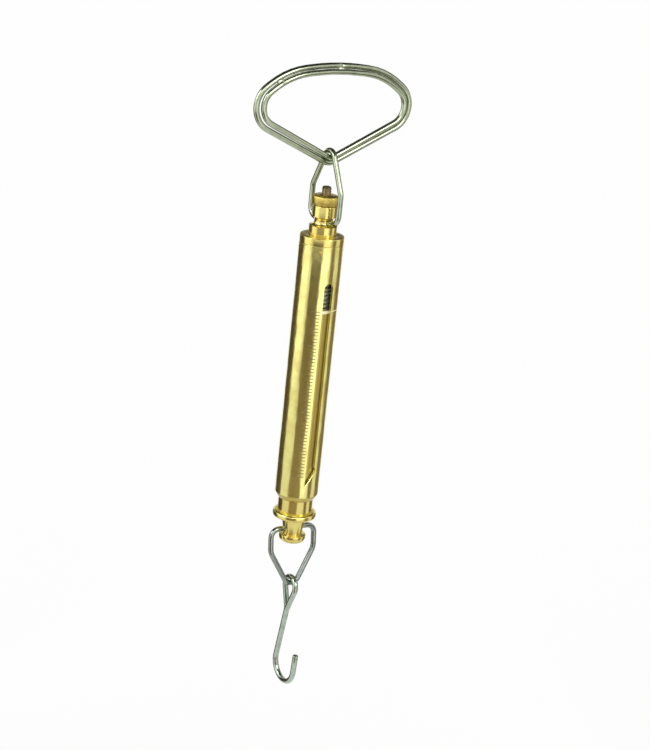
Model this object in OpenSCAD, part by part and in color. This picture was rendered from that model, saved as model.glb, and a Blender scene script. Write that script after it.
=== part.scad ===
// Tubular hanging spring scale: a slotted brass barrel, a plunger hung inside it on a coil spring,
// a finger handle of doubled wire at the top and a load hook at the bottom.
// Millimetres, +Z up, the reading slot faces -Y.
// The origin is the underside of the handle's arch, where the fingers bear.

/* [Handle] */
// Wire diameter of both rings
handle_wire = 3.3; // [2.8:0.1:3.3]
// Outside width of the outer ring
handle_w = 102.8; // [96:0.1:110]
// Outside height of the outer ring
handle_h = 57.5; // [54:0.1:62]
// Arch over the fingers, radius to the outer ring's centre line
arch_r = 145.9; // [135:0.1:160]
// Shoulders, radius to the outer ring's centre line
shoulder_r = 45.5; // [43:0.1:50]
// Distance of the shoulders' centres from the scale's axis
shoulder_x = 15; // [12:0.1:18]
// Corners, radius to the outer ring's centre line
corner_r = 13.8; // [12:0.1:16]
// Straight length from the arch to a shoulder and from there to a corner
bend_run = 2.5; // [1:0.5:4]
// Bottom bend, radius to the outer ring's centre line
handle_v_r = 8; // [7:0.1:10]
// How far the inner ring lies inside the outer ring
ring_step = 3.2; // [3.1:0.1:3.6]
// How much closer the inner ring's corners are, each side
ring_narrowing = 0.8; // [0:0.1:2]
// Distance between the two rings' planes
ring_stagger = 1.2; // [1.2:0.1:2.4]
// Radius of a braze bead between the rings
bead_r = 1.3; // [1:0.1:1.5]
// Place of the braze bead at the crown, degrees along the arch
crown_bead_angle = 0.6; // [-5:0.1:5]
// Place of the braze bead at the left shoulder, degrees along its bend
shoulder_bead_angle = -30; // [-35:0.5:-15]

/* [Bails] */
// Wire diameter
bail_wire = 3.2; // [2.6:0.1:3.2]
// Width between the centre lines of the legs
bail_w = 29.5; // [29.2:0.1:32]
// Distance from the scale's axis to the tip of a pin
bail_pin_tip = 3.6; // [3.5:0.05:4.2]
// Upper bail, pin axis to the centre of its apex bend
upper_bail_reach = 34.4; // [32:0.1:38]
// Upper bail, bend round the handle, radius to the centre line
upper_apex_r = 5.4; // [5:0.1:6.5]
// Upper bail, bend from leg to pin, radius to the centre line
upper_pin_bend_r = 6; // [3:0.1:6.4]
// Upper bail, height of the parallel part of its legs
upper_leg_h = 16.5; // [13:0.1:19]
// Upper bail, bend where the legs close in, radius to the centre line
upper_kink_r = 6; // [4:0.1:8]
// Lower bail, pin axis to the centre of its apex bend
lower_bail_reach = 29.4; // [28:0.1:36]
// Lower bail, bend round the hook, radius to the centre line
lower_apex_r = 5.2; // [5:0.1:6.5]
// Lower bail, bend from leg to pin, radius to the centre line
lower_pin_bend_r = 5; // [3:0.1:6.4]
// Lower bail, height of the parallel part of its legs
lower_leg_h = 11.4; // [9:0.1:14]
// Lower bail, bend where the legs close in, radius to the centre line
lower_kink_r = 10; // [6:0.1:11]
// Lower bail, lean towards the reading side as it hangs, degrees
lower_bail_lean = 7; // [0:1:10]

/* [Head] */
// Height of the cap above the barrel
cap_h = 4.5; // [3.5:0.1:6]
// Spigot inside the barrel
head_spigot_h = 10; // [8:0.5:12]
// Diameter of the post under the bail pins
post_d = 16.1; // [15.6:0.1:16.6]
// Diameter of the post above the bail pins
post_top_d = 13.8; // [13:0.1:15]
// Height of the bail pins above the cap
head_pin_axis_h = 8.2; // [7.5:0.1:9]
// Height of the post above the cap
post_h = 17; // [15:0.1:18]
// Hollow round the bail pins, radius of its section
hollow_r = 2.7; // [2.4:0.1:2.8]
// Bore for the adjusting rod
rod_bore_d = 5.7; // [5.6:0.05:5.7]
// Diameter of the four barrel pins
barrel_pin_d = 2; // [1.5:0.1:2.4]
// Barrel pins, distance below the top of the tube
barrel_pin_drop = 3.3; // [2.5:0.1:4]
// First barrel pin, degrees from +X
barrel_pin_angle = 57; // [40:1:60]

/* [Barrel] */
// Outside diameter of the tube
barrel_d = 25.4; // [25.2:0.1:25.6]
// Wall of the tube
barrel_wall = 1.6; // [1.5:0.05:1.7]
// Length of the tube
barrel_len = 151; // [149:0.5:152]
// Width of the reading slot
slot_w = 5.5; // [4:0.1:6.5]
// Top of the slot below the top of the tube
slot_drop = 21.4; // [20:0.1:24]
// Length of the slot's longer edge
slot_long_edge = 122.6; // [118:0.1:123]
// Length of the slot's shorter edge
slot_short_edge = 114.1; // [108:0.1:116]
// Relief notch in the shorter edge, radius
notch_r = 1.5; // [1:0.1:2]
// Relief notch, depth
notch_depth = 0.9; // [0.5:0.1:1]
// Height of the turned nose below the tube
nose_h = 3.2; // [2.5:0.1:4]
// Spigot of the nose inside the tube
nose_spigot_h = 4; // [3:0.1:5]
// Diameter of the nose at its lower end
nose_d = 21.8; // [21.6:0.1:23]

/* [Zero adjuster] */
// Diameter of the zero nut
nut_d = 14.4; // [12:0.1:15]
// Height of the zero nut
nut_h = 5.8; // [4:0.1:6.5]
// Diameter of the adjusting rod
rod_d = 5.5; // [5.3:0.05:5.5]
// Rod standing above the nut
rod_over_nut = 4.9; // [4:0.1:7]
// Width of the screwdriver slot
rod_slot_w = 1.2; // [0.8:0.1:1.5]
// Depth of the screwdriver slot
rod_slot_depth = 1.5; // [1:0.1:2]

/* [Spring] */
// Wire diameter
spring_wire = 2; // [1.6:0.1:2]
// Mean diameter of the coils
spring_d = 14; // [13.8:0.1:14.5]
// Number of coils
spring_turns = 50; // [40:1:50]
// Diameter of the upper plug's flange
upper_plug_d = 16.4; // [15:0.1:17]
// Diameter of the bosses inside the spring
plug_boss_d = 9.8; // [9:0.1:10]
// Height of the flange of each plug
plug_flange_h = 5; // [4:0.1:5.5]
// Height of the boss of each plug
plug_boss_h = 8; // [6:0.5:9]
// Gap between the head plug and the upper spring plug
upper_plug_gap = 4; // [3.5:0.1:5]
// Diameter of the cross pins
cross_pin_d = 2; // [1.5:0.1:2.2]

/* [Plunger] */
// Outside diameter of the tube
plunger_d = 20.6; // [20.4:0.1:20.8]
// Wall of the tube
plunger_wall = 0.8; // [0.6:0.05:0.9]
// Index below the top of the slot with no load
index_drop = 16.1; // [14:0.1:18]
// Height of the index collar
index_h = 1.8; // [1.5:0.1:5]
// Plunger tube showing below the nose with no load
neck_h = 8.7; // [7:0.1:12]
// Clearance of each sliding fit
slide_fit = 0.1; // [0.06:0.01:0.1]

/* [Foot] */
// Diameter of the flange
flange_d = 25.7; // [24:0.1:25.8]
// Height of the flange
flange_h = 3.8; // [3:0.1:4.5]
// Rounding of the flange's rim
flange_round = 1.2; // [0.6:0.1:1.4]
// Diameter of the shank under the flange
foot_neck_d = 14.6; // [13.8:0.1:15]
// Bail pin axis below the top of the flange
foot_pin_axis_drop = 11.4; // [10.5:0.1:12]
// Diameter of the waist that the shank tapers to
waist_d = 11.2; // [10.6:0.1:12]
// Waist below the bail pin axis
waist_drop = 2.4; // [2.2:0.1:2.8]
// Diameter of the button foot
foot_d = 15.9; // [15.4:0.1:17]
// Top of the button foot below the bail pin axis
foot_top_drop = 3.6; // [3.4:0.1:4.4]
// Bottom of the button foot below the bail pin axis
foot_drop = 8.6; // [7.5:0.1:9]
// Rounding of the button foot's lower edge
foot_round = 3.4; // [1:0.1:3.6]
// Stem that carries the lower spring plug
stem_d = 6; // [5:0.1:6.5]

/* [Hook] */
// Wire diameter
hook_wire = 3.4; // [3:0.1:3.5]
// Eye, radius to the centre line
eye_r = 6.05; // [5.8:0.05:6.6]
// Lean of the eye's closing side, which lays the end of the wire beside the shank, degrees
eye_lean = 6; // [4:0.5:7]
// Play between the eye and the bail
eye_play = 0.3; // [0.2:0.05:0.5]
// Eye's centre to the neck where its wire closes
eye_to_neck = 15.1; // [12:0.1:17]
// Bend at the neck, radius to the centre line
neck_r = 5; // [4:0.1:7]
// Neck to the centre of the load bend
shank_h = 35.6; // [30:0.1:45]
// Load bend, radius to the centre line
throat_r = 10.4; // [9:0.1:12]
// Load bend's centre in front of the eye's centre
throat_offset = 1.6; // [0:0.1:4]
// Tip above the load bend's centre
tip_h = 11; // [6:0.1:14]
// How far the tip leans outwards
tip_flare = 0.9; // [0:0.1:2]

/* [Hidden] */
$fn = 64;
// Curl rings and sides of the spring's wire
coil_rings = 8;
wire_sides = 6;
// Straight runs of wire reach this far into the bends and are this much thinner, so each wire is one solid
run_lap = 0.2;
run_ease = 0.02;
// Running gap between flat faces that turn on each other
face_gap = 0.05;
// Gap between the two wires at the hook's neck, each side of the axis
neck_gap = 0.2;
// Straight lap of the hook's two sides at the top of its eye
eye_lap = 0.2;
// Running clearance of the bail pins and the nut's bore, on radius
pin_fit = 0.05;
// Edge break of the turned pieces
edge_break = 0.5;
// Extra length of a cutter past the face that it cuts
cut_over = 1;
// Depth of the pin holes' floor past the pins' tips
pin_floor = 0.2;
// Seat of pins below the surface of the plunger tube
pin_sink = 0.1;
barrel_pin_count = 4;
foot_pin_count = 2;

brass = [0.80, 0.63, 0.28];
pale_brass = [0.86, 0.72, 0.40];
plated_wire = [0.75, 0.76, 0.75];
spring_steel = [0.42, 0.42, 0.40];

barrel_r = barrel_d / 2;
bore_r = barrel_r - barrel_wall;
plunger_r = plunger_d / 2;
plunger_bore_r = plunger_r - plunger_wall;
rod_r = rod_d / 2;
rod_bore_r = rod_bore_d / 2;
pin_hole_r = bail_wire / 2 + pin_fit;

// Handle, as heights of the outer ring's centre line
crown_z = ring_step + handle_wire / 2;
handle_base_z = crown_z + handle_wire - handle_h;
arch_z = crown_z - arch_r;
corner_x = (handle_w - handle_wire) / 2 - corner_r;
arch_to_shoulder = norm([arch_r - shoulder_r, bend_run]);
shoulder_to_corner = norm([shoulder_r - corner_r, bend_run]);
corner_rise = sqrt(pow(shoulder_to_corner, 2) - pow(corner_x - shoulder_x, 2));

// Heights down the scale
bail_swing_z = handle_base_z + ring_step / 2;
upper_pin_z = bail_swing_z - upper_bail_reach;
cap_top_z = upper_pin_z - head_pin_axis_h;
barrel_top_z = cap_top_z - cap_h;
barrel_end_z = barrel_top_z - barrel_len;
nose_end_z = barrel_end_z - nose_h;
post_top_z = cap_top_z + post_h;
rod_top_z = post_top_z + nut_h + rod_over_nut;
upper_plug_z = barrel_top_z - head_spigot_h - upper_plug_gap;
spring_top_z = upper_plug_z - plug_flange_h;
slot_top_z = barrel_top_z - slot_drop;
index_z = slot_top_z - index_drop;
flange_top_z = nose_end_z - neck_h;
foot_spigot_h = neck_h + nose_h;
lower_plug_z = flange_top_z + foot_spigot_h;
spring_end_z = lower_plug_z + plug_flange_h;
lower_pin_z = flange_top_z - foot_pin_axis_drop;
lower_bail_drop = lower_bail_reach + lower_apex_r;
hook_swing_y = -lower_bail_drop * sin(lower_bail_lean);
hook_swing_z = lower_pin_z - lower_bail_drop * cos(lower_bail_lean);
eye_z = hook_swing_z + (bail_wire + hook_wire) / 2 + eye_play - eye_r;
neck_z = eye_z - eye_to_neck;
throat_z = neck_z - shank_h;

// Height of a shoulder's centre, for a ring whose corners are closer by some narrowing
function shoulder_z(narrowing) =
    arch_z + sqrt(pow(arch_to_shoulder, 2) - pow(shoulder_x - narrowing, 2));

// Bends of one handle ring, drawn inwards by an inset and narrowed
function ring_bends(inset, narrowing) = let (
    top_z = shoulder_z(narrowing),
    side_x = shoulder_x - narrowing,
    edge_x = corner_x - narrowing
) [
    [0, handle_base_z + handle_v_r, handle_v_r - inset],
    [edge_x, top_z + corner_rise, corner_r - inset],
    [side_x, top_z, shoulder_r - inset],
    [0, arch_z, arch_r - inset],
    [-side_x, top_z, shoulder_r - inset],
    [-edge_x, top_z + corner_rise, corner_r - inset]
];

// Bends of a bail, from pin tip to pin tip, with the pin axis at the bottom
function bail_bends(reach, apex_r, leg_h, kink_r, pin_r) = let (
    half = bail_w / 2,
    pin_x = half - pin_r,
    kink_x = half - kink_r
) [
    [bail_pin_tip, 0, 0],
    [pin_x, pin_r, pin_r],
    [kink_x, leg_h, kink_r],
    [0, reach, apex_r],
    [-kink_x, leg_h, kink_r],
    [-pin_x, pin_r, pin_r],
    [-bail_pin_tip, 0, 0]
];

// Hook: the end of the wire comes down beside the shank, a wire's thickness from it
eye_top_z = eye_z + eye_r;
neck_half = hook_wire / 2 + neck_gap;
end_aside = (eye_top_z - neck_z) * sin(eye_lean);
end_x = sqrt(pow(2 * neck_half, 2) - pow(end_aside, 2)) - neck_half;

// Bends of the hook, from the top of the eye to the tip
hook_bends = [
    [eye_lap, eye_top_z, 0],
    [0, eye_z, eye_r],
    [-neck_half - neck_r, neck_z, -neck_r],
    [throat_offset, throat_z, throat_r],
    [throat_offset + throat_r + tip_flare, throat_z + tip_h, 0]
];

// Bends of the eye's closing side, from the end of the wire to the top of the eye
eye_end_bends = [
    [end_x, neck_z, 0],
    [0, eye_z, eye_r],
    [-eye_lap, eye_top_z, 0]
];

// A wire is a list of bends [x, y, r] joined by straight runs, r > 0 turning left and r = 0 an end
function run_angle(a, b) =
    let (d = [b.x - a.x, b.y - a.y])
    atan2(d.y, d.x) - asin((b.z - a.z) / norm(d));

function run_point(bend, angle) = [bend.x + bend.z * sin(angle), bend.y - bend.z * cos(angle)];

module wire_run(a, b, wire) {
    angle = run_angle(a, b);
    start = run_point(a, angle);
    end = run_point(b, angle);
    start_lap = a.z == 0 ? 0 : run_lap;
    end_lap = b.z == 0 ? 0 : run_lap;
    translate([start.x, start.y, 0])
        rotate([0, 90, angle])
            translate([0, 0, -start_lap])
                cylinder(d = wire - run_ease, h = start_lap + norm(end - start) + end_lap);
}

module wire_bend(before, bend, after, wire) {
    side = sign(bend.z);
    angle_in = run_angle(before, bend);
    turn = (side * (run_angle(bend, after) - angle_in) + 720) % 360;
    first = angle_in - side * 90 - (side < 0 ? turn : 0);
    translate([bend.x, bend.y, 0])
        rotate(first)
            rotate_extrude(angle = turn)
                translate([abs(bend.z), 0])
                    circle(d = wire);
}

module bent_wire(bends, wire, closed = false) {
    n = len(bends);
    end = closed ? 0 : 1;
    for (i = [0 : n - 1 - end])
        wire_run(bends[i], bends[(i + 1) % n], wire);
    for (i = [end : n - 1 - end])
        wire_bend(bends[(i + n - 1) % n], bends[i], bends[(i + 1) % n], wire);
}

// Turned piece from its half section [radius, height]
module turned(section) {
    rotate_extrude()
        polygon(section);
}

// Disc with both edges rounded, standing on z = 0
module rounded_disc(r, h, round) {
    cylinder(r = r - round, h = h);
    translate([0, 0, round])
        cylinder(r = r, h = h - 2 * round);
    for (z = [round, h - round])
        translate([0, 0, z])
            rotate_extrude()
                translate([r - round, 0])
                    circle(r = round);
}

// Disc with only its lower edge rounded, standing on z = 0
module button(r, h, round) {
    intersection() {
        rounded_disc(r, h + 2 * round, round);
        cylinder(r = 2 * r, h = h);
    }
}

// Round hollow turned into the post at the bail pins
module hollow(z) {
    translate([0, 0, z])
        rotate_extrude()
            translate([post_d / 2, 0])
                circle(r = hollow_r);
}

// Pins standing out from the axis, evenly spaced
module radial_pins(count, first, d, inner, outer, z) {
    for (i = [0 : count - 1])
        translate([0, 0, z])
            rotate([0, 90, first + i * 360 / count])
                translate([0, 0, inner])
                    cylinder(d = d, h = outer - inner);
}

module barrel_pin_set(outer) {
    radial_pins(barrel_pin_count, barrel_pin_angle, barrel_pin_d, bore_r - barrel_wall,
        outer, barrel_top_z - barrel_pin_drop);
}

module foot_pin_set(outer) {
    radial_pins(foot_pin_count, 90, cross_pin_d, plunger_bore_r - 2 * plunger_wall,
        outer, lower_plug_z - cross_pin_d);
}

module cross_pin(length, z) {
    translate([-length / 2, 0, z])
        rotate([0, 90, 0])
            cylinder(d = cross_pin_d, h = length);
}

module upper_cross_pin(length) {
    cross_pin(length, upper_plug_z - plug_flange_h / 2);
}

module lower_cross_pin(length) {
    cross_pin(length, lower_plug_z + plug_flange_h / 2);
}

// Bead of braze between the rings, on a bend of the outer ring
module braze_bead(x, z, bend_r, angle) {
    translate([x, 0, z])
        rotate([0, angle, 0])
            translate([0, 0, bend_r - ring_step / 2])
                sphere(r = bead_r);
}

module handle_outer_ring() {
    color(plated_wire) {
        translate([0, ring_stagger / 2, 0])
            rotate([90, 0, 0])
                bent_wire(ring_bends(0, 0), handle_wire, closed = true);
        braze_bead(0, arch_z, arch_r, crown_bead_angle);
        braze_bead(-shoulder_x, shoulder_z(0), shoulder_r, shoulder_bead_angle);
    }
}

module handle_inner_ring() {
    color(plated_wire)
        translate([0, -ring_stagger / 2, 0])
            rotate([90, 0, 0])
                bent_wire(ring_bends(ring_step, ring_narrowing), handle_wire, closed = true);
}

module upper_bail() {
    bends = bail_bends(upper_bail_reach, upper_apex_r, upper_leg_h, upper_kink_r, upper_pin_bend_r);
    color(plated_wire)
        translate([0, 0, upper_pin_z])
            rotate([90, 0, 90])
                bent_wire(bends, bail_wire);
}

module lower_bail() {
    bends = bail_bends(lower_bail_reach, lower_apex_r, lower_leg_h, lower_kink_r, lower_pin_bend_r);
    color(plated_wire)
        translate([0, 0, lower_pin_z])
            rotate([-90 - lower_bail_lean, 0, 0])
                bent_wire(bends, bail_wire);
}

module head_plug() {
    spigot_z = barrel_top_z - head_spigot_h;
    color(brass)
        difference() {
            turned([
                [rod_bore_r, spigot_z],
                [bore_r - edge_break, spigot_z],
                [bore_r, spigot_z + edge_break],
                [bore_r, barrel_top_z],
                [barrel_r, barrel_top_z],
                [barrel_r, cap_top_z - edge_break],
                [barrel_r - edge_break, cap_top_z],
                [post_d / 2, cap_top_z],
                [post_d / 2, upper_pin_z],
                [post_top_d / 2, upper_pin_z],
                [post_top_d / 2, post_top_z - edge_break],
                [post_top_d / 2 - edge_break, post_top_z],
                [rod_bore_r, post_top_z]
            ]);
            hollow(upper_pin_z);
            radial_pins(2, 90, 2 * pin_hole_r, bail_pin_tip - pin_floor, post_d, upper_pin_z);
            barrel_pin_set(barrel_r);
        }
}

module head_pins() {
    color(pale_brass)
        barrel_pin_set(barrel_r);
}

module barrel() {
    color(brass)
        difference() {
            translate([0, 0, barrel_end_z])
                cylinder(r = barrel_r, h = barrel_len);
            translate([0, 0, barrel_end_z - cut_over])
                cylinder(r = bore_r, h = barrel_len + 2 * cut_over);
            reading_slot();
            barrel_pin_set(barrel_r + cut_over);
        }
}

module reading_slot() {
    half = slot_w / 2;
    round_z = slot_top_z - half;
    depth = barrel_r + cut_over;
    rotate([90, 0, 0]) {
        linear_extrude(depth)
            polygon([
                [-half, round_z],
                [-half, slot_top_z - slot_long_edge],
                [half, slot_top_z - slot_short_edge],
                [half, round_z]
            ]);
        translate([0, round_z, 0])
            cylinder(r = half, h = depth);
        translate([half - notch_r + notch_depth, slot_top_z - slot_short_edge + notch_r, 0])
            cylinder(r = notch_r, h = depth);
    }
}

module guide_bush() {
    bush_bore_r = plunger_r + slide_fit;
    color(brass)
        turned([
            [bush_bore_r, nose_end_z],
            [nose_d / 2, nose_end_z],
            [barrel_r, barrel_end_z],
            [bore_r, barrel_end_z],
            [bore_r, barrel_end_z + nose_spigot_h],
            [bush_bore_r, barrel_end_z + nose_spigot_h]
        ]);
}

module zero_nut() {
    low = post_top_z + face_gap;
    high = post_top_z + nut_h;
    color(pale_brass)
        turned([
            [rod_r + pin_fit, low],
            [nut_d / 2 - edge_break, low],
            [nut_d / 2, low + edge_break],
            [nut_d / 2, high - edge_break],
            [nut_d / 2 - edge_break, high],
            [rod_r + pin_fit, high]
        ]);
}

module adjusting_rod() {
    rod_end_z = spring_top_z - plug_boss_h;
    color(brass)
        difference() {
            turned([
                [0, rod_end_z],
                [rod_r, rod_end_z],
                [rod_r, rod_top_z - edge_break],
                [rod_r - edge_break, rod_top_z],
                [0, rod_top_z]
            ]);
            translate([-rod_d, -rod_slot_w / 2, rod_top_z - rod_slot_depth])
                cube([2 * rod_d, rod_slot_w, rod_slot_depth + cut_over]);
            upper_cross_pin(2 * rod_d);
        }
}

module upper_spring_plug() {
    boss_end_z = spring_top_z - plug_boss_h;
    color(brass)
        difference() {
            turned([
                [rod_r, boss_end_z],
                [plug_boss_d / 2 - edge_break, boss_end_z],
                [plug_boss_d / 2, boss_end_z + edge_break],
                [plug_boss_d / 2, spring_top_z],
                [upper_plug_d / 2, spring_top_z],
                [upper_plug_d / 2, upper_plug_z],
                [rod_r, upper_plug_z]
            ]);
            upper_cross_pin(2 * upper_plug_d);
        }
}

module upper_plug_pin() {
    color(spring_steel)
        upper_cross_pin(upper_plug_d - 2 * pin_sink - 2 * face_gap);
}

// Wire of the spring: a straight end on each plug and the coils between
spring_h = spring_top_z - spring_end_z;
coil_steps = coil_rings * spring_turns;
lead_drop = spring_wire;
coil_pitch = (spring_h - 2 * spring_wire - 2 * lead_drop) / (spring_turns - 1);

function coil_drop(i) =
    let (last = coil_steps - coil_rings / 2)
    spring_wire + lead_drop * min(1, i / (coil_rings / 2))
    + coil_pitch * (spring_turns - 1) * max(0, min(1, (i - coil_rings / 2) / (last - coil_rings / 2)))
    + lead_drop * max(0, (i - last) / (coil_rings / 2));

function coil_point(i) =
    let (angle = 360 * i / coil_rings)
    [spring_d / 2 * cos(angle), spring_d / 2 * sin(angle), spring_top_z - coil_drop(i)];

spring_line = concat(
    [[spring_d / 2, 0, spring_top_z]],
    [for (i = [0 : coil_steps]) coil_point(i)],
    [[spring_d / 2, 0, spring_end_z]]
);
spring_last = len(spring_line) - 1;

function unit(v) = v / norm(v);

function wire_ring(i) = let (
    here = spring_line[i],
    out = unit([here.x, here.y, 0]),
    ahead = i < spring_last ? unit(spring_line[i + 1] - here) : [0, 0, -1],
    behind = i > 0 ? unit(here - spring_line[i - 1]) : [0, 0, -1],
    up = cross(unit(ahead + behind), out)
) [
    for (k = [0 : wire_sides - 1])
        here + spring_wire / 2 * (out * cos(360 * k / wire_sides) + up * sin(360 * k / wire_sides))
];

spring_gap = min([
    for (i = [0 : spring_last - coil_rings / 2 - 1])
        for (j = [i + coil_rings / 2 : min(spring_last, i + 2 * coil_rings)])
            norm(spring_line[i] - spring_line[j])
]) - spring_wire;
echo(spring_gap = spring_gap);

module spring() {
    points = [for (i = [0 : spring_last]) each wire_ring(i)];
    sides = [
        for (i = [0 : spring_last - 1])
            for (k = [0 : wire_sides - 1])
                let (
                    a = i * wire_sides + k,
                    b = i * wire_sides + (k + 1) % wire_sides
                )
                each [[a, b, b + wire_sides], [a, b + wire_sides, a + wire_sides]]
    ];
    top = [for (k = [0 : wire_sides - 1]) wire_sides - 1 - k];
    bottom = [for (k = [0 : wire_sides - 1]) spring_last * wire_sides + k];
    color(spring_steel)
        polyhedron(points = points, faces = concat(sides, [top, bottom]));
}

module lower_spring_plug() {
    boss_top_z = spring_end_z + plug_boss_h;
    flange_r = plunger_bore_r - slide_fit;
    color(brass)
        difference() {
            turned([
                [stem_d / 2, lower_plug_z],
                [flange_r, lower_plug_z],
                [flange_r, spring_end_z],
                [plug_boss_d / 2, spring_end_z],
                [plug_boss_d / 2, boss_top_z - edge_break],
                [plug_boss_d / 2 - edge_break, boss_top_z],
                [stem_d / 2, boss_top_z]
            ]);
            lower_cross_pin(2 * plunger_d);
        }
}

module lower_plug_pin() {
    color(spring_steel)
        lower_cross_pin(2 * (plunger_bore_r - slide_fit - pin_sink));
}

module plunger_tube() {
    color(brass)
        difference() {
            translate([0, 0, flange_top_z])
                cylinder(r = plunger_r, h = index_z - flange_top_z);
            translate([0, 0, flange_top_z - cut_over])
                cylinder(r = plunger_bore_r, h = index_z - flange_top_z + 2 * cut_over);
            foot_pin_set(plunger_r + cut_over);
        }
}

module index_collar() {
    collar_r = bore_r - slide_fit;
    color(pale_brass)
        turned([
            [plunger_r, index_z - index_h],
            [collar_r, index_z - index_h],
            [collar_r, index_z],
            [plunger_r, index_z]
        ]);
}

module foot_plug() {
    foot_z = lower_pin_z - foot_drop;
    waist_z = lower_pin_z - waist_drop;
    stem_top_z = spring_end_z + plug_boss_h - edge_break;
    color(brass)
        difference() {
            union() {
                translate([0, 0, foot_z])
                    button(foot_d / 2, foot_drop - foot_top_drop, foot_round);
                translate([0, 0, lower_pin_z - foot_top_drop - cut_over])
                    cylinder(d = waist_d, h = cut_over + foot_top_drop - waist_drop);
                translate([0, 0, waist_z])
                    cylinder(d1 = waist_d, d2 = foot_neck_d, h = flange_top_z - flange_h - waist_z);
                translate([0, 0, flange_top_z - flange_h])
                    rounded_disc(flange_d / 2, flange_h, flange_round);
                translate([0, 0, flange_top_z - flange_h / 2])
                    cylinder(r = plunger_bore_r, h = flange_h / 2 + foot_spigot_h);
                translate([0, 0, lower_plug_z - cut_over])
                    cylinder(d = stem_d, h = stem_top_z - lower_plug_z + cut_over);
            }
            translate([-foot_d, 0, lower_pin_z])
                rotate([0, 90, 0])
                    cylinder(r = pin_hole_r, h = 2 * foot_d);
            lower_cross_pin(2 * stem_d);
            foot_pin_set(plunger_r);
        }
}

module foot_pins() {
    color(pale_brass)
        foot_pin_set(plunger_r - pin_sink);
}

module hook() {
    color(plated_wire)
        translate([0, hook_swing_y, 0])
            rotate([90, 0, -90]) {
                bent_wire(hook_bends, hook_wire);
                translate([0, eye_top_z, 0])
                    rotate([-eye_lean, 0, 0])
                        translate([0, -eye_top_z, 0])
                            bent_wire(eye_end_bends, hook_wire);
            }
}

handle_outer_ring();
handle_inner_ring();
upper_bail();
adjusting_rod();
zero_nut();
head_plug();
head_pins();
barrel();
guide_bush();
upper_spring_plug();
upper_plug_pin();
spring();
lower_spring_plug();
lower_plug_pin();
index_collar();
plunger_tube();
foot_plug();
foot_pins();
lower_bail();
hook();
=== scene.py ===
"""Looks of the tubular hanging spring scale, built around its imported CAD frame."""

import math

import bmesh
import bpy
from mathutils import Matrix, Vector


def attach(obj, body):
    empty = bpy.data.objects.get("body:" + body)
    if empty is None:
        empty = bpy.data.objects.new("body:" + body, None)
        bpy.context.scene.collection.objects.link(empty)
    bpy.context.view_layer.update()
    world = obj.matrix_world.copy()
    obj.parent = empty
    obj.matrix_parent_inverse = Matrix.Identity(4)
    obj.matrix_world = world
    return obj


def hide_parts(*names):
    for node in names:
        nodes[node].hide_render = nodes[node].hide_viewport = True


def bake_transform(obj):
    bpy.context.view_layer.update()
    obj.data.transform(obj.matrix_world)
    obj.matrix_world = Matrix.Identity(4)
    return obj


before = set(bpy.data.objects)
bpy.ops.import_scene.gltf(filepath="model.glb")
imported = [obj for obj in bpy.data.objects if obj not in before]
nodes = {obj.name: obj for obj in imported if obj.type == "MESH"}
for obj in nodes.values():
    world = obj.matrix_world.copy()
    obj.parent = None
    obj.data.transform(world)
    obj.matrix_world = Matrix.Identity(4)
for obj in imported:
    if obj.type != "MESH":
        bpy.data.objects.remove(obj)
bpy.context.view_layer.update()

MM = 0.001
TURN = 2 * math.pi
QUARTER = math.pi / 2

# Fineness of the meshes, and the angle in degrees from which an edge is shown sharp
WIRE_SIDES = 28
LATHE_STEPS = 192
BARREL_STEPS = 256
PIN_STEPS = 40
WELD = 0.0005
SHARP = 32.0
KNURL_SHARP = 50.0
THREAD_SHARP = 60.0

# Sizes in millimetres, the same as the solids
HANDLE_WIRE = 3.3
RING_STEP = 3.2
RING_STAGGER = 1.2
RING_NARROWING = 0.8
CROWN_Z = 4.85
ARCH_R = 145.9
ARCH_Z = CROWN_Z - ARCH_R
HANDLE_BASE_Z = -49.35
HANDLE_V_R = 8.0
SHOULDER_R = 45.5
SHOULDER_X = 15.0
CORNER_R = 13.8
CORNER_X = 35.95
BEND_RUN = 2.5
ARCH_TO_SHOULDER = math.hypot(ARCH_R - SHOULDER_R, BEND_RUN)
SHOULDER_TO_CORNER = math.hypot(SHOULDER_R - CORNER_R, BEND_RUN)
CORNER_RISE = math.sqrt(SHOULDER_TO_CORNER**2 - (CORNER_X - SHOULDER_X) ** 2)
CROWN_JOINT = math.radians(0.6)
SHOULDER_JOINT = math.radians(-30)
BUTT_CHAMFER = 0.3
BUTT_REACH = BUTT_CHAMFER + 0.03
BEAD_R = 1.25
BEAD_STRETCH = 1.7
BEAD_FLATNESS = 0.95
BEAD_UNEVENNESS = 0.10
BEAD_LUMPS = (3.1, 1.7, 2.3)
BEAD_TILT = math.radians(30)

UPPER_PIN_Z = -82.15
LOWER_PIN_Z = -269.15
BAIL_WIRE = 3.2
BAIL_W = 29.5
BAIL_END_X = 3.9
BAIL_CHAMFER = 0.35
UPPER_REACH = 34.4
UPPER_APEX_R = 5.4
UPPER_LEG_H = 16.5
UPPER_KINK_R = 6.0
UPPER_FOOT_R = 6.0
LOWER_REACH = 29.4
LOWER_APEX_R = 5.2
LOWER_LEG_H = 11.4
LOWER_KINK_R = 10.0
LOWER_FOOT_R = 5.0
LOWER_LEAN = math.radians(7)

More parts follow.
